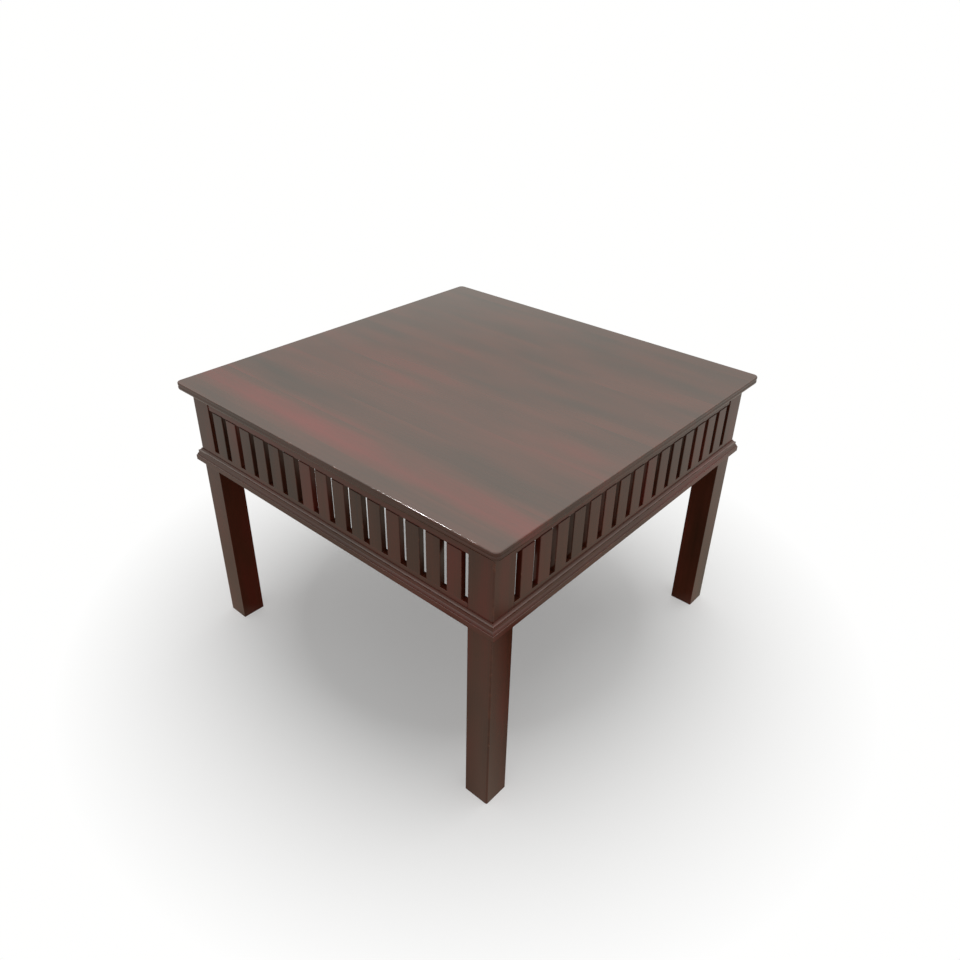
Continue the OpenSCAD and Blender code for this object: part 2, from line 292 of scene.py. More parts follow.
height = math_node(lacquer_film, "MULTIPLY", waves, start.outputs["Wave height"])
height = math_node(lacquer_film, "MULTIPLY_ADD", peel, peel_height, height)
height = math_node(lacquer_film, "MULTIPLY_ADD", start.outputs["Pores"], -pore_sink, height)
rubbed = remap(lacquer_film, rubs, *rub_range)
rubbed = math_node(lacquer_film, "MULTIPLY", rubbed, start.outputs["Arris"])
rough = remap(lacquer_film, smears, *smear_range, 0.0, smear_roughness)
rough = math_node(lacquer_film, "ADD", rough, start.outputs["Gloss roughness"])
rough = math_node(lacquer_film, "MULTIPLY_ADD", rubbed, rubbed_roughness, rough)
for label, value in (("Height", height), ("Roughness", rough), ("Rubbed", rubbed)):
    feed(lacquer_film, end.inputs[label], value)
print("lacquer film nodes:", len(lacquer_film.nodes))

# %% [markdown]
# ## The way the grain runs
# The figure runs along Z inside its group, and the timber runs along X, Y or Z.
# The pith is taken off the piece's own coordinates first, so that the rings
# close round it. Then a Mapping node turns them until the length of the piece
# lies along Z. An unwrapped piece could carry flat coordinates instead, but they
# would know nothing of the end of a board.

# %% Turn the coordinates along the grain
turn_to_z = {"x": (0, -math.pi / 2, 0), "y": (math.pi / 2, 0, 0), "z": (0, 0, 0)}


def grain_coordinates(tree, along):
    """The piece's own coordinates, with the pith as their axis and the length along Z."""
    here = place_node(tree, "TexCoord").outputs["Object"]
    pith = place_node(tree, "Attribute", attribute_name="pith").outputs["Vector"]
    moved = place_node(tree, "VectorMath", {0: here, 1: pith}, operation="SUBTRACT").outputs[0]
    feeds = {"Vector": moved, "Rotation": turn_to_z[along]}
    return place_node(tree, "Mapping", feeds).outputs[0]


print("the grain can run along:", ", ".join(turn_to_z))

# %% [markdown]
# ## A finish on wood
# The two groups now meet in a material. The figure gives the colour and its
# pores to the film, and the film gives its height and roughness to the shader.
# Where an arris is rubbed, the colour turns paler. The lacquer itself is the
# clear surface that the shader has anyway, with constant values on its sockets.

# %% Put the figure and the film into a material
lacquer_ior = 1.5
most_rubbed = 0.5


def wood_finish(name, along, colours, rub_colour, gloss, wave_height, specular):
    """One finish on wood whose length runs along x, y or z."""
    material = bpy.data.materials.new(name)
    material.use_nodes = True
    tree = material.node_tree
    vector = grain_coordinates(tree, along)
    tone = place_node(tree, "Attribute", attribute_name="tone").outputs["Fac"]
    arris = place_node(tree, "Attribute", attribute_name="arris").outputs["Fac"]
    dark, middle, red = colours
    figure = place_node(
        tree, "Group",
        {"Vector": vector, "Tone": tone, "Dark": dark, "Middle": middle, "Red": red},
        node_tree=wood_figure,
    )
    film = place_node(
        tree, "Group",
        {"Vector": vector, "Pores": figure.outputs["Pores"], "Arris": arris,
         "Wave height": wave_height, "Gloss roughness": gloss},
        node_tree=lacquer_film,
    )
    share = math_node(tree, "MULTIPLY", film.outputs["Rubbed"], most_rubbed)
    colour = blend_colour(tree, share, figure.outputs["Colour"], rub_colour)
    feeds = {"Height": film.outputs["Height"], "Distance": 1.0, "Strength": 1.0}
    bump = place_node(tree, "Bump", feeds)
    shader = tree.nodes["Principled BSDF"]
    for label, value in (
        ("Base Color", colour),
        ("Roughness", film.outputs["Roughness"]),
        ("Normal", bump.outputs[0]),
        ("Specular IOR Level", specular),
        ("IOR", lacquer_ior),
    ):
        feed(tree, shader.inputs[label], value)
    return material


print("index of refraction of the lacquer:", lacquer_ior)

# %% [markdown]
# ## Lacquered, sealed and bare
# One finish is needed for each direction in which the timber runs. The top has
# a glossier film with higher waves than the rest. Its under side is only
# sealed. The hidden bars and blocks, which all lie flat, keep a paler wood with
# hardly any film. All of them are one graph with different values, which is what
# groups are for.

# %% Mix the finishes
stain = [(0.036, 0.017, 0.009, 1), (0.103, 0.027, 0.014, 1), (0.200, 0.020, 0.015, 1)]
bare = [(0.150, 0.070, 0.036, 1), (0.240, 0.120, 0.062, 1), (0.310, 0.160, 0.085, 1)]
rubbed_lacquer = (0.20, 0.060, 0.03, 1)
rubbed_sealer = (0.20, 0.09, 0.05, 1)
rubbed_bare = (0.34, 0.19, 0.11, 1)

lacquered = {
    along: wood_finish(
        "Lacquered_wood_" + along, along, stain, rubbed_lacquer,
        gloss=0.10, wave_height=0.00003, specular=0.5)
    for along in "xyz"
}
lacquered_top = wood_finish(
    "Lacquered_top", "y", stain, rubbed_lacquer,
    gloss=0.07, wave_height=0.00005, specular=0.5)
sealed_underside = wood_finish(
    "Sealed_underside", "y", stain, rubbed_sealer,
    gloss=0.42, wave_height=0.00001, specular=0.35)
bare_wood = {
    along: wood_finish(
        "Bare_wood_" + along, along, bare, rubbed_bare,
        gloss=0.55, wave_height=0.00001, specular=0.3)
    for along in "xy"
}
finishes = [*lacquered.values(), lacquered_top, sealed_underside, *bare_wood.values()]
print("wood finishes:", [finish.name for finish in finishes])

# %% [markdown]
# ## Zinc-plated steel
# The screws under the top are the only metal that shows. Zinc plate is a bright
# grey with faint blue and straw patches, and it is scratched where the driver
# turned in the cross. Scratches could be drawn one by one. Fine noise, drawn out
# in one direction, does as well at this size, and it feeds both the roughness
# and the bump.

# %% The zinc finish
blue_zinc = (0.50, 0.52, 0.55, 1)
straw_zinc = (0.62, 0.59, 0.50, 1)
scratch_depth = 0.00001
scratch_stretch = (1, 0.1, 1)
patch_range = (0.35, 0.65)
scratch_range = (0.3, 0.7)
scratch_roughness = (0.28, 0.5)
steel_nodes = ("top_screws", "block_screws", "moulding_pins")

zinc = bpy.data.materials.new("Zinc_plate")
zinc.use_nodes = True
tree = zinc.node_tree
here = place_node(tree, "TexCoord").outputs["Object"]
long_way = place_node(tree, "Mapping", {"Vector": here, "Scale": scratch_stretch}).outputs[0]
patches = noise(tree, here, lumps=260, detail=3, roughness=0.6)
scratches = noise(tree, long_way, lumps=4200, detail=2, roughness=0.6)
plate = blend_colour(tree, remap(tree, patches, *patch_range), blue_zinc, straw_zinc)
depth = math_node(tree, "MULTIPLY", scratches, scratch_depth)
bump = place_node(tree, "Bump", {"Height": depth, "Distance": 1.0})
shader = tree.nodes["Principled BSDF"]
for label, value in (
    ("Base Color", plate),
    ("Roughness", remap(tree, scratches, *scratch_range, *scratch_roughness)),
    ("Normal", bump.outputs[0]),
    ("Metallic", 1.0),
):
    feed(tree, shader.inputs[label], value)
for name in steel_nodes:
    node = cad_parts[name]
    node.material_slots[0].material = zinc
print("zinc on:", ", ".join(steel_nodes))

# %% [markdown]
# ## Working as by hand
# Each new piece starts as a primitive and is shaped in edit mode. An operator
# acts on everything that is selected, so the first habit is to select nothing.
# The second is to put the place of a new piece into its mesh at once, so that
# its object stays at the middle of the table, where the patterns start.

# %% Select and name
def select_only(*pieces):
    """Leave edit mode, then select these pieces alone; the first is active."""
    if bpy.context.mode != "OBJECT":
        bpy.ops.object.mode_set(mode="OBJECT")
    bpy.ops.object.select_all(action="DESELECT")
    for piece in pieces:
        piece.select_set(True)
    if pieces:
        bpy.context.view_layer.objects.active = pieces[0]


def name_piece(name):
    """Name the new piece and put its place into its mesh."""
    piece = bpy.context.object
    piece.name = piece.data.name = name
    bpy.ops.object.transform_apply(location=True, rotation=True, scale=True)
    return piece


select_only()
print("selected:", len(bpy.context.selected_objects))

# %% [markdown]
# ## Picking edges and faces
# By hand, edges and faces are clicked. In a script they are picked by where
# their middle lies and which way they run or face, which still works when a
# size changes. Where a bevel has rounded an arris, the new faces are noted, and
# the finish is rubbed there.

# %% Pick edges and faces
touching = 0.00001
mostly_along = 0.9
hardly_along = 0.1
square_on = 0.99


def pick(piece, kind, wanted):
    """Select, in edit mode, what passes a test of its middle and its direction."""
    select_only(piece)
    bpy.ops.object.mode_set(mode="EDIT")
    bpy.ops.mesh.select_mode(type=kind)
    bpy.ops.mesh.select_all(action="DESELECT")
    bpy.ops.object.mode_set(mode="OBJECT")
    mesh = piece.data
    if kind == "FACE":
        for face in mesh.polygons:
            face.select = wanted(face.center, face.normal)
    else:
        for edge in mesh.edges:
            a, b = (mesh.vertices[i].co for i in edge.vertices)
            edge.select = wanted((a + b) / 2, (b - a).normalized())
    bpy.ops.object.mode_set(mode="EDIT")


def mark_arris(piece):
    """Note the selected faces as an arris, where the finish is rubbed first."""
    bpy.ops.object.mode_set(mode="OBJECT")
    mesh = piece.data
    layer = mesh.attributes.get("arris") or mesh.attributes.new("arris", "FLOAT", "FACE")
    for face in mesh.polygons:
        if face.select:
            layer.data[face.index].value = 1.0


print("places closer than", touching * 1000, "mm count as one")

# %% [markdown]
# ## Patterns and copies
# What repeats is made once, as a pattern piece. Each copy has its own mesh. It
# is moved into its place on the front side first, and then turned by quarter
# turns round the middle of the table. Linked copies would share one mesh, and
# so one tone as well. The pattern is discarded at the end.

# %% Copy and discard
def copy_piece(piece, name, move=(0, 0, 0), quarter_turns=0):
    """A copy with its own mesh, moved, then turned about the middle of the table."""
    select_only(piece)
    bpy.ops.object.duplicate(linked=False)
    bpy.context.object.location = move
    bpy.ops.object.transform_apply(location=True, rotation=True, scale=True)
    bpy.context.object.rotation_euler.z = quarter_turns * math.pi / 2
    return name_piece(name)


def discard(piece):
    """Remove a pattern piece after its copies are made."""
    mesh = piece.data
    bpy.data.objects.remove(piece)
    bpy.data.meshes.remove(mesh)


sides = ["front", "right", "back", "left"]
corners = ["front_left", "front_right", "back_right", "back_left"]
along_sides = ["x", "y", "x", "y"]
print("quarter turns:", dict(enumerate(sides)))

# %% [markdown]
# ## Choosing the timber
# No two pieces are sawn from one place in a tree. So each gets its own tone and
# its own place, about a hand's breadth from the pith. The material could tell
# pieces apart by an Object Info node, but attributes stay with the mesh when
# pieces are joined. The numbers are drawn from one seeded source, so the same
# table comes out each time.

# %% Grow a piece
timber_yard = random.Random(11)
pith_spread = 0.06
pith_nearest = 0.05
pith_farthest = 0.14


def away_from_pith():
    """How far a piece lies from the pith along one axis, to either side."""
    return timber_yard.choice((-1, 1)) * timber_yard.uniform(pith_nearest, pith_farthest)


def grow(piece, tone):
    """Give a piece its own tone and its own place in the tree."""
    mesh = piece.data
    count = len(mesh.vertices)
    middle = sum((v.co for v in mesh.vertices), Vector()) / count
    spread = Vector(timber_yard.uniform(-pith_spread, pith_spread) for _ in range(3))
    offset = Vector(away_from_pith() for _ in range(3))
    pith = middle + spread + offset
    tones = mesh.attributes.new("tone", "FLOAT", "POINT").data
    tones.foreach_set("value", [tone] * count)
    piths = mesh.attributes.new("pith", "FLOAT_VECTOR", "POINT").data
    piths.foreach_set("vector", list(pith) * count)


print("pith:", pith_nearest, "to", pith_farthest, "m away, and", pith_spread, "m to and fro")

# %% [markdown]
# ## Finishing a piece
# When its shape is right, a piece gets smooth shading. Smooth shading alone
# would bend the light over a whole board, so the normals are weighted to follow
# the large flat faces, and a board stays flat up to its arris. Then it gets its
# finish, it is told which body it rides on, and the plain solid that it stands
# for is hidden.

# %% Finish a piece
smooth_below = math.radians(50)


def finish_piece(piece, node, material, below=None):
    """Shade, finish and seat a piece in place of the plain solid."""
    select_only(piece)
    bpy.ops.object.shade_smooth_by_angle(angle=smooth_below)
    bpy.ops.object.modifier_add(type="WEIGHTED_NORMAL")
    piece.modifiers[-1].keep_sharp = True
    bpy.ops.object.modifier_apply(modifier=piece.modifiers[-1].name)
    piece.data.materials.clear()
    piece.data.materials.append(material)
    if below:
        piece.data.materials.append(below)
        for face in piece.data.polygons:
            face.material_index = int(face.normal.z < -square_on)
    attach(piece, "root")
    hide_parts(node)


print("smooth below:", round(math.degrees(smooth_below)), "degrees")

# %% [markdown]
# ## The section of the top's edge
# The edge of the top has a rounded arris, a cove no deeper than a finger would
# feel, and a rounded lower edge. On the bench a cutter follows the edge. Here the
# section of that cutter is drawn as a chain of points, in metres outwards and
# upwards from the upper edge of the top.

# %% Draw the section
top_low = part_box("top_board_1")[0]
top_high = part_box("top_board_12")[1]
top_thickness = top_high.z - top_low.z
arris_radius = 0.003
cove_radius = 0.0045
cove_depth = 0.001
cove_drop = 0.0095
under_radius = 0.007


def arc(middle_x, middle_z, radius, first, last, steps):
    """Points on an arc in the plane of the section, between two angles in degrees."""
    angles = [math.radians(first + (last - first) * i / steps) for i in range(steps + 1)]
    return [(middle_x + radius * math.cos(a), middle_z + radius * math.sin(a)) for a in angles]


cove_middle = cove_radius - cove_depth
cove_half = math.degrees(math.acos(cove_middle / cove_radius))
edge_section = (
    arc(-arris_radius, -arris_radius, arris_radius, 90, 0, steps=6)
    + arc(cove_middle, -cove_drop, cove_radius, 180 - cove_half, 180 + cove_half, steps=8)
    + arc(-under_radius, under_radius - top_thickness, under_radius, 0, -90, steps=6)
)
print("edge section:", len(edge_section), "points,", round(top_thickness * 1000, 1), "mm high")

# %% [markdown]
# ## A line of edges
# A section has to be a line before it can be swept. It could be drawn as a
# curve, but edges can be pulled and spun in edit mode without a change of kind.
# A tiny plane is merged to a single vertex, and the vertex is pulled from point
# to point. The line stands where the right side of the top begins.

# %% Draw the section as a line
corner_radius = 0.015
speck_size = 0.001
top_side = top_high.x
centre = top_side - corner_radius


def draw_line(name, points):
    """Draw a chain of edges by pulling one vertex from point to point."""
    select_only()
    bpy.ops.mesh.primitive_plane_add(size=speck_size, location=points[0])
    bpy.ops.object.mode_set(mode="EDIT")
    bpy.ops.mesh.select_mode(type="VERT")
    bpy.ops.mesh.merge(type="CENTER")
    for here, there in zip(points, points[1:]):
        bpy.ops.mesh.extrude_vertices_move(TRANSFORM_OT_translate={"value": there - here})
    bpy.ops.object.mode_set(mode="OBJECT")
    return name_piece(name)


points = [Vector((top_side + x, -centre, top_high.z + z)) for x, z in edge_section]
blank = draw_line("top_blank", points)
print(blank.name, "has", len(blank.data.edges), "edges so far")

# %% [markdown]
# ## The moulded top
# The edge turns round four rounded corners. A bevel with a profile of its own
# could cut such an edge as well. Here the line is pulled along each side and
# spun round each corner, so the corners have their own radius and the moulding
# keeps its true section all the way. Two flat faces then close it.

# %% Sweep the section round the top
corner_steps = 10

bpy.ops.object.mode_set(mode="EDIT")
bpy.ops.mesh.select_mode(type="EDGE")
bpy.ops.mesh.select_all(action="SELECT")
for run, corner in (
    ((0, 1), (1, 1)),
    ((-1, 0), (-1, 1)),
    ((0, -1), (-1, -1)),
    ((1, 0), (1, -1)),
):
    pull = Vector((*run, 0)) * 2 * centre
    bpy.ops.mesh.extrude_region_move(TRANSFORM_OT_translate={"value": pull})
    spin_centre = (corner[0] * centre, corner[1] * centre, 0)
    bpy.ops.mesh.spin(
        steps=corner_steps, angle=-math.pi / 2, center=spin_centre, axis=(0, 0, 1))
bpy.ops.mesh.select_all(action="SELECT")
bpy.ops.mesh.remove_doubles(threshold=touching)
for level in (top_low.z, top_high.z):
    pick(blank, "EDGE", lambda middle, way: abs(middle.z - level) < touching)
    bpy.ops.mesh.edge_face_add()
bpy.ops.mesh.select_all(action="SELECT")
bpy.ops.mesh.normals_make_consistent(inside=False)
bpy.ops.object.mode_set(mode="OBJECT")
arris_foot = top_high.z - arris_radius
pick(blank, "FACE", lambda middle, way: middle.z > arris_foot and way.z < square_on)
mark_arris(blank)
blank_size = [round(x, 4) for x in blank.dimensions]
print("top blank:", len(blank.data.polygons), "faces, size", blank_size)

# %% [markdown]
# ## Twelve boards
# The top is glued up from ten full boards and two narrow ones. The blank is
# copied and each copy is sawn along its glue lines, so neighbours share a plane
# and the moulding runs through. The second board from the left turned red under
# the stain, and its neighbours stayed brown, so the tones are given board by
# board. Stain is wiped across the glue lines while it is wet, so near each line
# the tone drifts to the mean of the two boards. For that a line is scored beside
# the glue line, and the points on the glue line get the mean.

# %% Saw the boards
board_tones = [0.28, 0.78, 0.20, 0.46, 0.48, 0.40, 0.28, 0.36, 0.32, 0.26, 0.26, 0.26]
wiped_width = 0.026


def saw(piece, place, direction, through=True):
    """Saw along a plane and drop the side that the direction points to.

    With through=False a line is only scored there, and nothing is dropped.
    """
    select_only(piece)
    bpy.ops.object.mode_set(mode="EDIT")
    bpy.ops.mesh.select_all(action="SELECT")
    bpy.ops.mesh.bisect(
        plane_co=place, plane_no=direction, use_fill=through, clear_outer=through)
    bpy.ops.object.mode_set(mode="OBJECT")


def wipe_stain(board, seam_x, inwards, seam_tone):
    """Let the tone of a board drift to that of its glue line."""
    saw(board, (seam_x + inwards * wiped_width, 0, 0), (1, 0, 0), through=False)
    tones = board.data.attributes["tone"].data
    for vertex in board.data.vertices:
        if abs(vertex.co.x - seam_x) < touching:
            tones[vertex.index].value = seam_tone


for number, tone in enumerate(board_tones, start=1):
    node = f"top_board_{number}"
    low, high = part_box(node)
    has_left, has_right = number > 1, number < len(board_tones)
    board = copy_piece(blank, f"board_{number}")
    if has_left:
        saw(board, low, (-1, 0, 0))
    if has_right:
        saw(board, high, (1, 0, 0))
    grow(board, tone)
    if has_left:
        wipe_stain(board, low.x, 1, (tone + board_tones[number - 2]) / 2)
    if has_right:
        wipe_stain(board, high.x, -1, (tone + board_tones[number]) / 2)
    finish_piece(board, node, lacquered_top, below=sealed_underside)
    print(board.name, "width:", round(board.dimensions.x * 1000, 1), "mm")
discard(blank)

# %% [markdown]
# ## Four legs
# A leg is a plain square post. What makes it look made and not drawn is its
# arrises. A Bevel modifier would round them all alike, so each edge is picked by
# its place and gets its own radius in edit mode.

# %% Square and ease a piece of timber
def squared_timber(name, low, high):
    """A squared piece of timber between two opposite corners."""
    select_only()
    bpy.ops.mesh.primitive_cube_add(size=1, location=(low + high) / 2, scale=high - low)
    return name_piece(name)


def ease(piece, wanted, radius, segments):
    """Round the picked arrises, as with a plane and abrasive paper."""
    pick(piece, "EDGE", wanted)
    bpy.ops.mesh.bevel(offset=radius, segments=segments, profile=0.5, affect="EDGES")
    mark_arris(piece)


def upright_at(*places):
    """A test for upright edges that stand on one of these places in the plan."""
    def wanted(middle, way):
        on_place = any((middle.xy - place).length < touching for place in places)
        return abs(way.z) > mostly_along and on_place
    return wanted


leg_low, leg_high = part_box("leg_front_left")
print("leg:", [round(x * 1000, 1) for x in leg_high - leg_low], "mm")

# %% [markdown]
# ## The arrises of a leg
# The outer arris is rounded where knees and brooms meet it, and the other three
# are only eased. A small chamfer keeps the foot from splintering when the table
# is dragged. One leg is shaped, and four copies are turned round the table.

# %% Shape a leg and copy it round
outer_radius = 0.004
inner_radius = 0.001
foot_chamfer = 0.0015
leg_tones = (0.40, 0.60)


def round_foot(middle, way):
    """A test for the edges that stand on the floor."""
    return abs(middle.z - leg_low.z) < touching and abs(way.z) < hardly_along


leg = squared_timber("leg_pattern", leg_low, leg_high)
inner_corners = [
    Vector((leg_high.x, leg_high.y)),
    Vector((leg_high.x, leg_low.y)),
    Vector((leg_low.x, leg_high.y)),
]
ease(leg, upright_at(leg_low.xy), outer_radius, segments=5)
ease(leg, upright_at(*inner_corners), inner_radius, segments=2)
ease(leg, round_foot, foot_chamfer, segments=1)
for turns, corner in enumerate(corners):
    post = copy_piece(leg, f"post_{corner}", quarter_turns=turns)
    grow(post, timber_yard.uniform(*leg_tones))
    finish_piece(post, f"leg_{corner}", lacquered["z"])
discard(leg)
print("legs:", len(corners), "faces each:", len(post.data.polygons))

# %% [markdown]
# ## Rails
# The upper rail lies two millimetres behind the legs and the lower rail is
# flush with them. Their tenons are hidden in the legs, so the dressed rails run
# from shoulder to shoulder. Only the long arrises are eased: the shoulders stay
# crisp, because they close against a leg. One rail of each kind is made on the
# front side, and the others are turned copies of it.

# %% Shape the rails and copy them round
shoulder_left = leg_high.x
shoulder_right = -leg_high.x
rail_ease = 0.0008
rail_tones = (0.38, 0.58)


def shoulder_to_shoulder(node):
    """The box of a rail without its tenons."""
    low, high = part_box(node)
    return Vector((shoulder_left, low.y, low.z)), Vector((shoulder_right, high.y, high.z))


for kind in ("upper_rail", "lower_rail"):
    low, high = shoulder_to_shoulder(f"{kind}_front")
    rail = squared_timber(f"{kind}_pattern", low, high)
    ease(rail, lambda middle, way: abs(way.x) > mostly_along, rail_ease, segments=2)
    for turns, side in enumerate(sides):
        piece = copy_piece(rail, f"{kind}_piece_{side}", quarter_turns=turns)
        grow(piece, timber_yard.uniform(*rail_tones))
        finish_piece(piece, f"{kind}_{side}", lacquered[along_sides[turns]])
    discard(rail)
    print(kind, "length:", round((high.x - low.x) * 1000, 1), "mm")

# %% [markdown]
# ## A slat
# Fifteen slats stand between the rails on each side, with sixteen equal gaps.
# Their faces are flush with the legs. The front arrises are rounded enough to
# catch the light, and the ones behind are hardly eased.

# %% Shape a slat
slat_count = 15
slat_width = 0.040
slat_thickness = 0.014
slat_arris = 0.0015
slat_back_ease = 0.0006

slat_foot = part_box("lower_rail_front")[1].z
slat_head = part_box("upper_rail_front")[0].z
face_y = leg_low.y
back_y = face_y + slat_thickness
slat_low = Vector((-slat_width / 2, face_y, slat_foot))
slat_high = Vector((slat_width / 2, back_y, slat_head))
slat = squared_timber("slat_pattern", slat_low, slat_high)


def upright_on(depth):
    """A test for upright edges that lie at one depth behind the front."""
    return lambda middle, way: abs(way.z) > mostly_along and abs(middle.y - depth) < touching


ease(slat, upright_on(face_y), slat_arris, segments=3)
ease(slat, upright_on(back_y), slat_back_ease, segments=1)
print("slat:", round((slat_head - slat_foot) * 1000, 1), "mm high")

# %% [markdown]
# ## Four rows of slats
# An Array modifier could repeat the slat, but all its copies would look alike.
# Copied one by one, each slat is its own length of wood, and its tone differs
# from its neighbours. The slats of a side are then joined into one piece,
# because together they stand for one part of the joinery.

# %% Fill the four sides
slat_tones = (0.22, 0.62)
gap = (shoulder_right - shoulder_left - slat_count * slat_width) / (slat_count + 1)
first_x = shoulder_left + gap + slat_width / 2


def join_pieces(name, pieces):
    """Make one piece of several, without welding them to each other."""
    select_only(*pieces)
    bpy.ops.object.join()
    return name_piece(name)


for turns, side in enumerate(sides):
    slats = []
    for number in range(slat_count):
        move = (first_x + number * (slat_width + gap), 0, 0)
        copy = copy_piece(slat, f"slat_{side}_{number + 1}", move=move, quarter_turns=turns)
        grow(copy, timber_yard.uniform(*slat_tones))
        slats.append(copy)
    row = join_pieces(f"slat_row_{side}", slats)
    finish_piece(row, f"slats_{side}", lacquered["z"])
discard(slat)
print("slats:", slat_count * len(sides), "gap:", round(gap * 1000, 2), "mm")

# %% [markdown]
# ## The section of the moulding
# A stepped moulding runs round the legs and lower rails. From its upper edge
# down it has a narrow land, a cove, a rounded member, a small ledge and a plain
# band with eased arrises. Its section is measured outwards from the face of the
# legs and upwards from its lower edge.

# %% Draw the section of the moulding
moulding_low, moulding_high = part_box("moulding_front")
thick = face_y - moulding_low.y
tall = moulding_high.z - moulding_low.z
land = 0.0015
moulding_cove = 0.006
ovolo = 0.009
ledge = 0.002
band = 0.015
band_ease = 0.0015

band_x = thick - band_ease
ovolo_x = thick - ledge - ovolo
cove_x = land + moulding_cove
ovolo_end = math.degrees(math.acos((cove_x - ovolo_x) / ovolo))
moulding_section = (
    [(0.0, 0.0)]
    + arc(band_x, band_ease, band_ease, -90, 0, steps=4)
    + arc(band_x, band - band_ease, band_ease, 0, 90, steps=4)
    + arc(ovolo_x, band, ovolo, 0, ovolo_end, steps=8)
    + arc(cove_x, tall, moulding_cove, 270, 180, steps=8)
    + [(0.0, tall)]
)
print("moulding section:", len(moulding_section), "points,", round(tall * 1000, 1), "mm high")

# %% [markdown]
# ## The moulding
# A curve with a bevel could carry the section round the corners. Real lengths of
# moulding are sawn to a mitre, and so are these: the section is closed to a
# face, pulled along the front, and sawn at both ends. Four copies then meet in
# sharp corners.

# %% Pull the moulding out and mitre it
outer = -moulding_low.y
moulding_tones = (0.38, 0.58)

points = [Vector((-outer, face_y - x, moulding_low.z + z)) for x, z in moulding_section]
moulding = draw_line("moulding_pattern", points)
bpy.ops.object.mode_set(mode="EDIT")
bpy.ops.mesh.select_mode(type="EDGE")
bpy.ops.mesh.select_all(action="SELECT")
bpy.ops.mesh.edge_face_add()
bpy.ops.mesh.extrude_region_move(TRANSFORM_OT_translate={"value": (2 * outer, 0, 0)})
bpy.ops.mesh.select_all(action="SELECT")
bpy.ops.mesh.normals_make_consistent(inside=False)
bpy.ops.object.mode_set(mode="OBJECT")
saw(moulding, (0, 0, 0), (-1, 1, 0))
saw(moulding, (0, 0, 0), (1, 1, 0))


def eased_on_band(middle, way):
    """A test for the rounded faces of the band, which face neither square on nor up."""
    on_band = middle.z < moulding_low.z + band and abs(way.x) < hardly_along
    return on_band and hardly_along < abs(way.y) < square_on


pick(moulding, "FACE", eased_on_band)
mark_arris(moulding)
for turns, side in enumerate(sides):
    piece = copy_piece(moulding, f"moulding_length_{side}", quarter_turns=turns)
    grow(piece, timber_yard.uniform(*moulding_tones))
    finish_piece(piece, f"moulding_{side}", lacquered[along_sides[turns]])
discard(moulding)
print("moulding:", round(2 * outer * 1000, 1), "mm long on each side")

# %% [markdown]
# ## Under the top
# Nobody polishes what only the floor sees. The cleats, battens and corner
# blocks are plain wood with screw holes. The holes could be cut once more, but
# the solids already have them in the right places. So a copy of each is used.
# It comes as loose triangles, which are welded and then dissolved into faces.

# %% Weld a copy of a solid
weld_distance = 0.000001
flat_within = math.radians(0.5)


def welded_copy(node, name):
    """A copy of a plain solid, with its loose triangles welded into faces."""
    copy = copy_piece(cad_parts[node], name)
    bpy.ops.object.mode_set(mode="EDIT")
    bpy.ops.mesh.select_all(action="SELECT")
    bpy.ops.mesh.customdata_custom_splitnormals_clear()
    bpy.ops.mesh.remove_doubles(threshold=weld_distance)
    bpy.ops.mesh.dissolve_limited(angle_limit=flat_within)
    bpy.ops.object.mode_set(mode="OBJECT")
    return copy


print("angles under", round(math.degrees(flat_within), 2), "degrees count as flat")

# %% [markdown]
# ## Bars and blocks
# The outer arrises of a bar are eased, and the rims of its screw holes are not.
# The arrises are the edges that lie on two outer sides of the bar's box at once.
# The corner blocks are left as they came from the saw.

# %% Ease the bars and finish what is hidden
hidden_ease = 0.001
hidden_tones = (0.25, 0.65)


def at_box_edge(low, high, point):
    """True where a point lies on two outer sides of a box at once."""
    on_side = [
        min(abs(point[i] - low[i]), abs(point[i] - high[i])) < touching for i in range(3)
    ]
    return sum(on_side) >= 2


def finish_hidden(piece, node, along):
    """Finish a piece that only shows from below."""
    grow(piece, timber_yard.uniform(*hidden_tones))
    finish_piece(piece, node, bare_wood[along])
    print(piece.name, "faces:", len(piece.data.polygons))


bars = [(f"cleat_{side}", along) for side, along in zip(sides, along_sides)]
bars += [("batten_front", "x"), ("batten_back", "x")]
for node, along in bars:
    low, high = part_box(node)
    bar = welded_copy(node, f"{node}_bar")
    ease(bar, lambda middle, way: at_box_edge(low, high, middle), hidden_ease, segments=2)
    finish_hidden(bar, node, along)
for corner, along in zip(corners, along_sides):
    node = f"corner_block_{corner}"
    finish_hidden(welded_copy(node, f"{node}_wedge"), node, along)

# %% [markdown]
# ## Two rooms in one
# Dark lacquer shows little of its own colour and much of what it mirrors. A
# white room would turn it milky, but the camera should see the table in a white
# room. So the floor and the room are painted twice, and a Light Path node tells
# who is looking: the camera, directly or through glass, or the gloss. Whatever
# else reaches the wood is plain light.

# %% Tell who is looking
white = (1.0, 1.0, 0.995, 1)


def who_is_looking(tree):
    """Two values that are 1 for the camera's own view and for what the gloss mirrors."""
    rays = place_node(tree, "LightPath").outputs
    in_view = math_node(tree, "MAXIMUM", rays["Is Camera Ray"], rays["Is Transmission Ray"])
    return in_view, rays["Is Glossy Ray"]


print("white:", white[:3])

# %% [markdown]
# ## The floor
# The camera sees a plain pale floor that keeps the table's shadow. To the wood
# the same floor is a warm grey, so that it throws a little warm light up at the
# legs. It is far larger than the view, so no edge of it shows.

# %% Lay the floor
floor_size = 60
floor_roughness = 0.9
pale_floor = (0.92, 0.92, 0.91, 1)
bounced_floor = (0.45, 0.40, 0.33, 1)

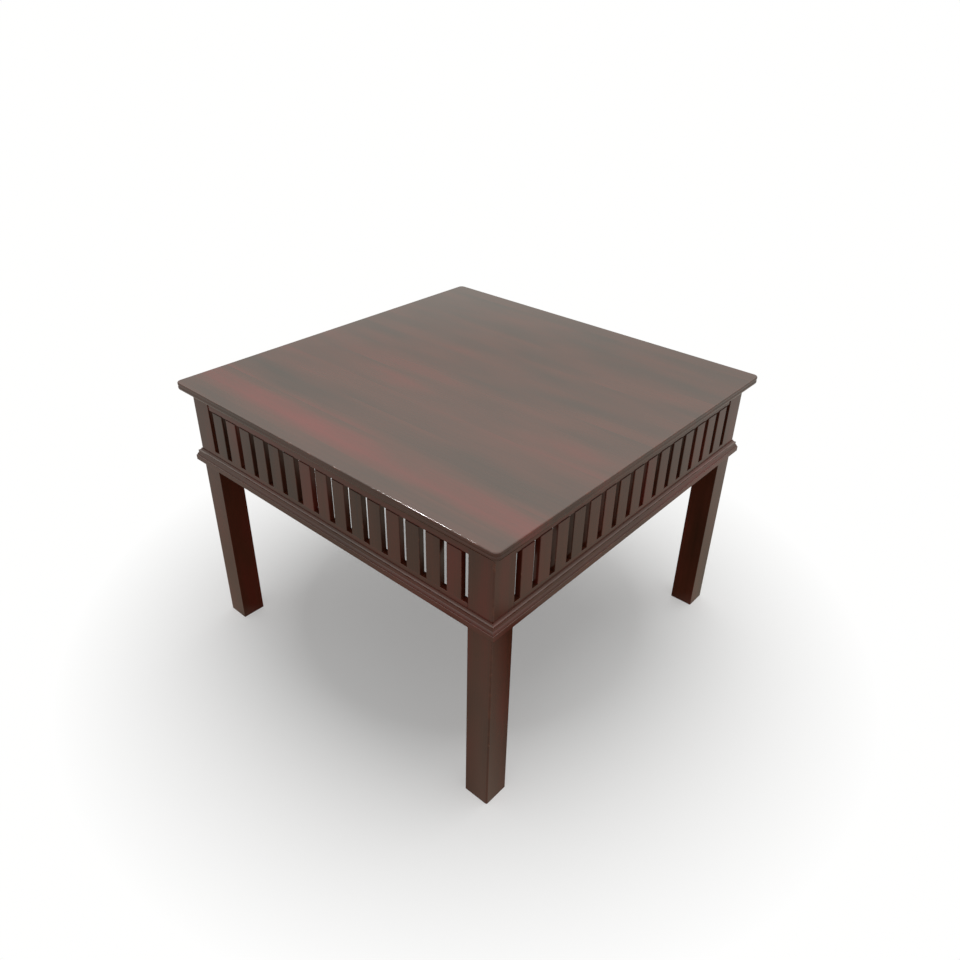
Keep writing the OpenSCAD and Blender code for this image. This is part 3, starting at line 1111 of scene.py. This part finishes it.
bpy.ops.mesh.primitive_plane_add(size=floor_size, location=(0, 0, 0))
floor = name_piece("Floor")
pale = bpy.data.materials.new("Pale_floor")
pale.use_nodes = True
tree = pale.node_tree
in_view, in_gloss = who_is_looking(tree)
shader = tree.nodes["Principled BSDF"]
for label, value in (
    ("Base Color", blend_colour(tree, in_view, bounced_floor, pale_floor)),
    ("Roughness", floor_roughness),
    ("Specular IOR Level", 0.0),
):
    feed(tree, shader.inputs[label], value)
print("floor:", floor_size, "m wide")

# %% [markdown]
# ## What the floor glows with
# More light could turn the floor white further out, but it would fall on the
# table too. So in the camera's view the floor itself glows more and more away
# from the table. For the gloss the floor glows with a painted reflection: painted
# shade under the table and in front of the middle of each side, and paler painted
# light further out. Two measures say where a point lies: how far it is from the
# middle, and the sum of how far it is both ways, which grows fastest towards the
# corners.

# %% Let the floor glow
fade_start = 0.5
fade_end = 1.17
least_glow = 0.15
corner_range = (0.87, 1.01)
far_range = (0.95, 1.9)
# Painted reflection colours that only the gloss sees: painted shade near the table and before
# the middle of each side, painted light towards the corners and further out.
painted_shade_in_gloss = (0.03, 0.02, 0.015, 1)
painted_corner_light_in_gloss = (0.42, 0.37, 0.30, 1)
painted_far_light_in_gloss = (0.60, 0.57, 0.51, 1)

here = place_node(tree, "TexCoord").outputs["Object"]
from_middle = place_node(
    tree, "VectorMath", {0: here}, operation="LENGTH").outputs["Value"]
both_ways = place_node(
    tree, "VectorMath", {0: here}, operation="ABSOLUTE").outputs[0]
to_corners = place_node(
    tree, "VectorMath", {0: both_ways, 1: (1, 1, 0)}, operation="DOT_PRODUCT").outputs["Value"]
faded = remap(tree, from_middle, fade_start, fade_end, least_glow, 1.0)
out_of_painted_side_shade = remap(tree, to_corners, *corner_range)
far_out = remap(tree, from_middle, *far_range)
# The painted reflection: painted shade before the middle of each side, painted light past it,
# and paler painted light further out.
painted_floor_reflection = blend_colour(tree, out_of_painted_side_shade, painted_shade_in_gloss, painted_corner_light_in_gloss)
painted_floor_reflection = blend_colour(tree, far_out, painted_floor_reflection, painted_far_light_in_gloss)
glow_colour = blend_colour(tree, in_gloss, white, painted_floor_reflection)
glow = place_node(tree, "Emission", {"Color": glow_colour, "Strength": 1.0}).outputs[0]
share = math_node(tree, "MAXIMUM", math_node(tree, "MULTIPLY", faded, in_view), in_gloss)
both = place_node(tree, "MixShader", {0: share, 1: shader.outputs[0], 2: glow}).outputs[0]
feed(tree, tree.nodes["Material Output"].inputs["Surface"], both)
floor.data.materials.append(pale)
print("floor fades to white between", fade_start, "and", fade_end, "m")

# %% [markdown]
# ## The room
# The camera sees a white room. The gloss mirrors walls that brighten towards a
# ceiling. A picture of a room could be mirrored instead, but a plain rise of
# brightness with height is enough for a soft gleam. What falls on the wood is
# held at a plain level, so the stain comes out about as it was written.

# %% Light the room
plain_level = 0.50
wall_top = 0.38
ceiling_edge = 0.60
wall_glow = 0.98
ceiling_glow = 2.10
warm_white = (1.0, 0.98, 0.905, 1)

world = bpy.data.worlds.new("Bright_room")
world.use_nodes = True
bpy.context.scene.world = world
tree = world.node_tree
in_view, in_gloss = who_is_looking(tree)
way = place_node(tree, "TexCoord").outputs["Generated"]
height = place_node(tree, "SeparateXYZ", {0: way}).outputs["Z"]
room_glow = remap(tree, height, wall_top, ceiling_edge, wall_glow, ceiling_glow)
for_gloss = math_node(tree, "MULTIPLY", room_glow, in_gloss)
seen = math_node(tree, "MAXIMUM", in_view, in_gloss)
for_wood = remap(tree, seen, 0.0, 1.0, plain_level, 0.0)
strength = math_node(tree, "ADD", math_node(tree, "ADD", for_gloss, in_view), for_wood)
room = tree.nodes["Background"]
feed(tree, room.inputs["Color"], blend_colour(tree, in_gloss, white, warm_white))
feed(tree, room.inputs["Strength"], strength)
print("room:", plain_level, "on the wood,", wall_glow, "to", ceiling_glow, "in the gloss")

# %% [markdown]
# ## Two lamps
# A small lamp far up, which only the gloss sees, draws the bright line along the
# near left arris of the top. The overhang of the top hides it from the moulding.
# A wide lamp overhead, which the gloss doesn't see, lights the wood and gives
# the table its soft shadow.

# %% Hang the lamps
def hang_lamp(name, place, width, length, watts, only_gloss):
    """Hang a lamp that faces down, for the gloss alone or for the wood alone."""
    bpy.ops.object.light_add(type="AREA", location=place)
    lamp = bpy.context.object
    lamp.name = name
    lamp.data.shape = "RECTANGLE"
    lamp.data.size = width
    lamp.data.size_y = length
    lamp.data.energy = watts
    lamp.visible_glossy = only_gloss
    lamp.visible_diffuse = not only_gloss
    print(name, watts, "W")


hang_lamp(
    "Roof_light", (-0.73, 5.74, 8.95), width=0.66, length=0.94, watts=700, only_gloss=True)
hang_lamp(
    "Overhead", (0.9, -0.3, 3.5), width=3.0, length=3.0, watts=40, only_gloss=False)
